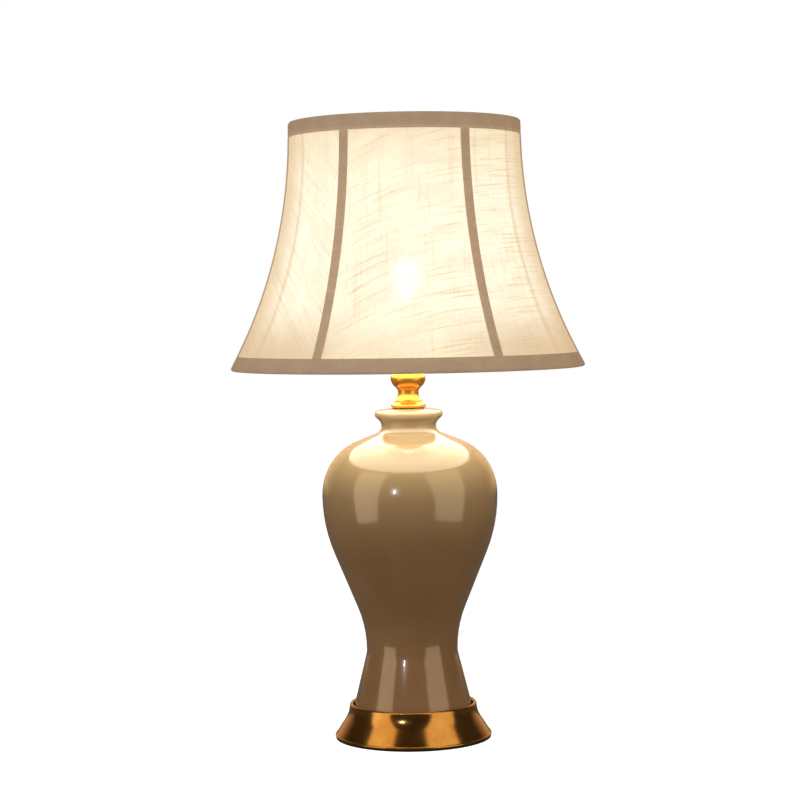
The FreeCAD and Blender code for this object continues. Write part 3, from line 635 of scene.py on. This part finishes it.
def walk(corners):
    """The whole outline as points, round stretches included."""
    points = [corners[0][:2]]
    for corner in corners[1:]:
        if len(corner) == 3:
            points += arc_points(points[-1], corner[:2], corner[2])
        else:
            points.append(corner)
    return points


def deselect_all():
    if bpy.context.object and bpy.context.object.mode != "OBJECT":
        bpy.ops.object.mode_set(mode="OBJECT")
    bpy.ops.object.select_all(action="DESELECT")


def finish_piece(piece, name, body, slot, replaced=(), angle=40.0):
    """Smooth a piece, name it, dress it, and hang it on its body."""
    deselect_all()
    piece.select_set(True)
    bpy.context.view_layer.objects.active = piece
    bpy.ops.object.transform_apply(location=True, rotation=True, scale=True)
    bpy.ops.object.shade_smooth_by_angle(angle=math.radians(angle))
    piece.name = name
    piece.data.name = name
    piece.data.materials.clear()
    piece.data.materials.append(SMALL_FINISHES[slot])
    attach(piece, body)
    if replaced:
        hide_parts(*replaced)
    print(name, len(piece.data.polygons), "faces")
    return piece


def draw_outline(points):
    """Draw an outline point by point; the piece is left in edit mode."""
    deselect_all()
    bpy.ops.mesh.primitive_circle_add(vertices=3, radius=MM, location=(0, 0, 0))
    piece = bpy.context.object
    bpy.ops.object.mode_set(mode="EDIT")
    bpy.ops.mesh.select_all(action="SELECT")
    bpy.ops.mesh.merge(type="CENTER")
    bpy.ops.transform.translate(value=(points[0][0] * MM, 0, points[0][1] * MM))
    for before, after in zip(points, points[1:]):
        step = ((after[0] - before[0]) * MM, 0, (after[1] - before[1]) * MM)
        bpy.ops.mesh.extrude_region_move(TRANSFORM_OT_translate={"value": step})
    bpy.ops.mesh.select_all(action="SELECT")
    bpy.ops.mesh.remove_doubles(threshold=0.00001)
    return piece


def spin_outline(corners, steps=128):
    """Spin a closed outline into a solid of revolution."""
    points = walk(corners)
    piece = draw_outline(points + points[:1])
    bpy.ops.mesh.spin(steps=steps, angle=2 * math.pi, center=(0, 0, 0), axis=(0, 0, 1))
    bpy.ops.mesh.select_all(action="SELECT")
    bpy.ops.mesh.remove_doubles(threshold=0.00001)
    bpy.ops.mesh.normals_make_consistent(inside=False)
    bpy.ops.object.mode_set(mode="OBJECT")
    return piece


# %% [markdown]
# ## The vase
#
# A slip-cast vase has walls of even thickness, so its inside repeats its outside. The foot
# flares, the waist turns in, a long straight run swells into the belly, and a round shoulder
# folds over to a narrow throat with a rolled lip.

# %% Vase
VASE_OUTSIDE = [
    (45.5, 25.9), (45.9, 25.5, 0.4), (49.7, 25.5), (50.2, 26.1, 0.6), (39.15, 70.6),
    (38.6, 75.1, -18.6), (45.7, 111.25, -95.4), (64.6, 157.4), (74.2, 206.1, 128.4),
    (71.3, 223.5, 53.8), (44.3, 251.85, 46.8), (27.5, 258.5), (23.2, 264.9, -6.9),
    (25.6, 270.1, -6.9), (27.3, 271.6), (28.75, 274.7, 4.05), (26.3, 277.9, 3.0),
    (16.0, 279.5), (6.2, 279.5),
]
VASE_INSIDE = [
    (6.2, 273.5), (18.2, 273.5), (18.2, 256.9), (42.5, 247.2), (66.5, 221.9, -41.8),
    (69.2, 206.1, -48.8), (59.9, 159.3, -123.4), (41.0, 113.1), (33.6, 75.1, 100.4),
    (34.3, 69.4, 23.6),
]
vase = spin_outline(VASE_OUTSIDE + VASE_INSIDE, steps=160)
finish_piece(vase, "vase_glazed", "stand", "glazed_ceramic", ["vase"])

# %% [markdown]
# ## Foot and neck
#
# The foot is spun from sheet brass: its rim is rolled over, its skirt flares, and its lower
# edge is turned back as a bead. The neck is solid bar, turned with sharp steps. Each step
# keeps a small bevel, because a perfectly sharp edge never catches the light.

# %% Foot and neck
FOOT = [
    (52.0, 1.5), (65.6, 1.5), (66.5, 2.3, 1.0), (66.2, 3.2, 1.0), (65.4, 3.8, -1.0),
    (57.3, 16.5), (54.0, 28.2, -22.0), (50.95, 28.2, 1.56), (50.95, 24.9),
    (50.55, 24.5, -0.4), (5.3, 24.5), (5.3, 23.3), (53.1, 23.3), (56.0, 16.1, 23.4),
    (64.2, 2.7), (52.0, 2.7),
]
foot = spin_outline(FOOT, steps=160)
finish_piece(foot, "foot_shell", "stand", "foot_brass", ["base_shell"])

NECK = [
    (5.3, 280.3), (13.9, 280.3), (14.4, 280.7, 0.5), (14.0, 283.0, 1.5), (11.8, 285.0),
    (11.6, 285.4, -0.3), (11.5, 286.1), (8.8, 292.2, -8.3), (8.9, 294.6),
    (9.7, 296.0, -1.8), (9.9, 296.4), (10.3, 296.9, -0.6), (14.8, 304.6, 11.0),
    (13.8, 308.6, 8.0), (13.4, 309.0, 0.6), (5.3, 309.0),
]
neck = spin_outline(NECK, steps=128)
finish_piece(neck, "neck_turned", "stand", "neck_brass", ["neck_spindle"], angle=30.0)

# %% [markdown]
# ## Laying cloth on the frame
#
# Each cloth piece starts as a flat grid. Its corners are numbered across and along, from 0
# to 1, and a rule says where such a point lies on the bell. The same rule gives the cloth
# map, in metres, so threads keep their size. Solidify then gives the cloth its thickness.
# The bell itself is one arc: its centre is far outside the shade, so a deeper layer has a
# longer radius about the same centre.

# %% Cloth helper
BELL_CENTRE = (509.8, 515.0)
BELL_ARC = 412.0
PANELS = 6


def bell(height, inset):
    """Radius of the bell at a height, both in millimetres."""
    drop = BELL_CENTRE[1] - height
    return BELL_CENTRE[0] - math.sqrt((BELL_ARC + inset) ** 2 - drop ** 2)


def bell_length(height):
    """Length along the bell from its top line down to a height."""
    return BELL_ARC * math.asin((BELL_CENTRE[1] - height) / BELL_ARC)


def on_lamp(angle, radius, height):
    """A point in metres; angle 0 is the front of the lamp, turning towards its right."""
    return Vector((radius * math.sin(angle), -radius * math.cos(angle), height)) * MM


LINING_LOW = 315.4
LINING_TOP = 506.0
LINING_INSET = 5.6


def cloth_grid(across, along, rule, thick, ring=False):
    """A flat grid laid by a rule: rule(u, v) gives a place and a cloth-map point."""
    deselect_all()
    bpy.ops.mesh.primitive_grid_add(x_subdivisions=across, y_subdivisions=along, size=1.0,
                                    calc_uvs=True)
    piece = bpy.context.object
    mesh = piece.data
    flat = [(vertex.co.x + 0.5, vertex.co.y + 0.5) for vertex in mesh.vertices]
    laid = [rule(u, v) for u, v in flat]
    cloth_map = mesh.uv_layers.active.data
    for loop in mesh.loops:
        cloth_map[loop.index].uv = laid[loop.vertex_index][1]
    for vertex in mesh.vertices:
        vertex.co = laid[vertex.index][0]
    bpy.ops.object.mode_set(mode="EDIT")
    bpy.ops.mesh.select_all(action="SELECT")
    if ring:
        bpy.ops.mesh.remove_doubles(threshold=0.00001)
    bpy.ops.object.mode_set(mode="OBJECT")
    wall = piece.modifiers.new("wall", "SOLIDIFY")
    wall.thickness = thick * MM
    wall.offset = 0.0
    bpy.ops.object.modifier_apply(modifier=wall.name)
    return piece


# %% [markdown]
# ## The six panels
#
# A panel is cut on the flat as a wide-hemmed strip and pulled tight from rib to rib, from
# the top ring to the hem ring. Tight cloth takes the shortest way, so between the ribs it
# lies a little inside the bell. The slubs run along the weft, and each panel was cut at
# its own slant: the streaks rise or fall differently from panel to panel, bending a little
# where the cloth was pulled.

# %% Shade panels
PANEL_LOW = 314.6
PANEL_TOP = 519.8
PANEL_INSET = 1.2
PANEL_SAG = 2.7
PANEL_HALF_ANGLE = math.pi / PANELS
# Slant and bend of the weft, per panel, starting at the front and turning to the right.
CUTS = ((0.33, 2.4), (0.04, 0.6), (-0.22, -1.5), (0.12, 1.0), (0.34, -2.2), (-0.62, 2.4))


def panel_rule(turn, slant, bend):
    def rule(u, v):
        height = PANEL_LOW + (PANEL_TOP - PANEL_LOW) * v
        side = (2 * u - 1) * PANEL_HALF_ANGLE * 0.998
        slack = 4 * v * (1 - v) * (1 - (2 * u - 1) ** 2)
        ripple = 0.12 * math.sin(23 * u + 31 * v) * math.sin(17 * v + turn) * slack
        radius = bell(height, PANEL_INSET + PANEL_SAG * slack + ripple)
        flat_u = side * radius * MM
        flat_v = -bell_length(height) * MM
        weft = flat_v - slant * flat_u + bend * flat_u ** 2
        return on_lamp(turn + side, radius, height), (flat_u + turn, weft + 3 * turn)
    return rule


panels = []
for number in range(PANELS):
    turn = 2 * math.pi * number / PANELS
    piece = cloth_grid(40, 72, panel_rule(turn, *CUTS[number]), 0.5)
    middle = Vector((math.sin(turn), -math.cos(turn)))
    node = min(
        (f"shade_panel_{index}" for index in range(1, PANELS + 1)),
        key=lambda name: -(sum(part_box(name), Vector()) / 2).xy.dot(middle),
    )
    finish_piece(piece, f"panel_cloth_{number + 1}", "shade", "shade_linen", [node], 80.0)
    panels.append(piece)

# %% [markdown]
# ## Tapes and bands
#
# A tape covers each seam and the edges of the shade are bound in the same tape, folded
# over the ring from outside to inside. The tape is woven, stands about a millimetre proud
# and is slightly crowned across its width.

# %% Rib tapes, top band and hem band
TAPE_WIDTH = 7.8
TAPE_THICK = 0.75


def tape_rule(turn):
    low, top = 325.2, 508.3

    def rule(u, v):
        height = low + (top - low) * v
        across = (2 * u - 1) * TAPE_WIDTH / 2
        crown = 0.30 * (1 - (2 * u - 1) ** 4)
        radius = bell(height, TAPE_THICK - crown - 0.35)
        place = on_lamp(turn + across / radius, radius, height)
        return place, (across * MM + turn, bell_length(height) * MM)
    return rule


def band_rule(corners):
    """A folded binding: corners of its cross-section as inset and height."""
    lengths = [0.0]
    for before, after in zip(corners, corners[1:]):
        lengths.append(lengths[-1] + math.dist(before, after))

    def rule(u, v):
        reach = v * lengths[-1]
        index = next(i for i in range(1, len(lengths)) if reach <= lengths[i] + 1e-9)
        share = (reach - lengths[index - 1]) / (lengths[index] - lengths[index - 1])
        inset = corners[index - 1][0] * (1 - share) + corners[index][0] * share
        height = corners[index - 1][1] * (1 - share) + corners[index][1] * share
        angle = math.pi + u * 2 * math.pi
        radius = bell(height, inset)
        return on_lamp(angle, radius, height), (angle * 0.12, reach * MM)
    return rule


tapes = []
for number in range(PANELS):
    turn = 2 * math.pi * (number + 0.5) / PANELS
    piece = cloth_grid(8, 72, tape_rule(turn), TAPE_THICK)
    middle = Vector((math.sin(turn), -math.cos(turn)))
    node = min(
        (f"rib_tape_{index}" for index in range(1, PANELS + 1)),
        key=lambda name: -(sum(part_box(name), Vector()) / 2).xy.dot(middle),
    )
    finish_piece(piece, f"tape_{number + 1}", "shade", "trim_tape", [node])
    tapes.append(piece)

top_band = cloth_grid(216, 14, band_rule([
    (0.42, 508.0), (0.30, 510.5), (0.38, 518.6), (0.9, 520.1), (2.2, 520.6), (4.6, 520.6),
    (6.0, 519.9), (6.35, 518.8), (6.35, 517.6),
]), 0.7, ring=True)
finish_piece(top_band, "top_binding", "shade", "trim_tape", ["top_band"])
hem_band = cloth_grid(216, 16, band_rule([
    (0.42, 325.5), (0.30, 323.4), (0.36, 316.2), (0.9, 314.2), (2.2, 313.7), (4.6, 313.7),
    (6.0, 314.5), (6.35, 315.8), (6.35, 319.0),
]), 0.7, ring=True)
finish_piece(hem_band, "hem_binding", "shade", "trim_tape", ["hem_band"])


# %% [markdown]
# ## The lining
#
# Seen from below, the inside of the shade is a plain cloth, drawn over the ribs from the
# hem to just below the top ring, and bright with painted light from the bulb.

# %% Lining
def lining_rule(u, v):
    height = LINING_LOW + (LINING_TOP - LINING_LOW) * v
    angle = math.pi + u * 2 * math.pi
    scallop = 0.3 * (1 - math.cos(PANELS * (angle + math.pi / PANELS))) * 4 * v * (1 - v)
    radius = bell(height, LINING_INSET + scallop)
    return on_lamp(angle, radius, height), (angle * 0.12, bell_length(height) * MM)


lining = cloth_grid(180, 48, lining_rule, 0.4, ring=True)
finish_piece(lining, "lining_sheet", "shade", "lining_cloth", ["shade_lining"], 80.0)

# %% [markdown]
# ## The cloth's sizes
#
# How large each sheet was before it was stretched is worked out here. A panel is cut
# from a rectangle as wide as its hem and as long as its rib, and is narrower at the top.

# %% Sheet sizes
rib_length = (bell_length(PANEL_LOW) - bell_length(PANEL_TOP)) * MM
hem_width = 2 * PANEL_HALF_ANGLE * bell(PANEL_LOW, PANEL_INSET) * MM
top_width = 2 * PANEL_HALF_ANGLE * bell(PANEL_TOP, PANEL_INSET) * MM
middle_width = 2 * PANEL_HALF_ANGLE * bell(400.0, PANEL_INSET) * MM
panel_area = rib_length * (hem_width + top_width + 2 * middle_width) / 4
for number, panel in enumerate(panels):
    extra = [tapes[number]]
    if number == 0:
        extra += [top_band, hem_band]
lining_width = round(2 * math.pi * bell(LINING_LOW, 5.4) * MM, 3)
lining_length = round((bell_length(LINING_LOW) - bell_length(LINING_TOP)) * MM, 3)
print("panel cut", round(hem_width, 3), "x", round(rib_length, 3), "m")

# %% [markdown]
# ## The bulb
#
# The globe is an opal ball cut off above the housing. It glows, and its light falls on the
# lining, the neck and the shoulder of the vase. A wide light just inside the hem, facing
# down, stands for all the light that leaves the shade through its open underside.

# %% Bulb
globe = spin_outline([(0.0, 404.8), (22.8, 382.0, -22.8), (18.9, 369.3, -22.8),
                      (17.7, 369.3), (21.6, 382.0, 21.6), (0.0, 403.6, 21.6)], 64)
finish_piece(globe, "globe_lit", "bulb", "opal_globe", ["bulb_globe"])
HOUSING = [
    (12.1, 352.0), (13.2, 352.0), (13.5, 352.3, 0.3), (14.6, 356.4, -16.0),
    (21.2, 368.4, -26.0), (21.4, 369.0, 0.8), (20.0, 369.0), (13.2, 356.4, 27.4),
]
housing = spin_outline(HOUSING, 64)
finish_piece(housing, "housing_moulded", "bulb", "bulb_plastic", ["bulb_housing"])

HEM_LIGHT_HEIGHT = 0.320
HEM_LIGHT_WIDTH = 0.284
HEM_LIGHT_POWER = 0.55
hem_light = bpy.data.lights.new("hem_light", "AREA")
hem_light.shape = "DISK"
hem_light.size = HEM_LIGHT_WIDTH
hem_light.energy = HEM_LIGHT_POWER
hem_light.color = (1.0, 0.91, 0.72)
glow_disk = bpy.data.objects.new("hem_light", hem_light)
bpy.context.scene.collection.objects.link(glow_disk)
glow_disk.location = (0, 0, HEM_LIGHT_HEIGHT)
glow_disk.visible_camera = False
print("bulb lit")

# %% [markdown]
# The cap is a thin drawn sleeve. Its thread is one wave of the outline, swept up round the
# axis by the Screw modifier, one pitch a turn.

# %% Screw cap
PITCH = 3.629
CAP_SLEEVE = [
    (9.3, 330.6), (12.3, 333.2), (12.3, 351.8), (11.7, 351.8), (11.7, 333.4), (9.3, 331.3),
]
THREAD_WAVE = [
    (12.2, 333.3), (12.75, 333.8, -1.2), (13.05, 335.1, 1.6), (12.75, 336.4, 1.6),
    (12.2, 333.3 + PITCH, -1.2),
]
sleeve = spin_outline(CAP_SLEEVE, 64)
thread = draw_outline(walk(THREAD_WAVE))
bpy.ops.object.mode_set(mode="OBJECT")
winding = thread.modifiers.new("winding", "SCREW")
winding.screw_offset = PITCH * MM
winding.iterations = 4
winding.steps = 64
winding.use_merge_vertices = True
bpy.ops.object.modifier_apply(modifier=winding.name)
sleeve.select_set(True)
bpy.context.view_layer.objects.active = sleeve
bpy.ops.object.join()
finish_piece(sleeve, "cap_threaded", "bulb", "bulb_cap_metal", ["bulb_cap"])
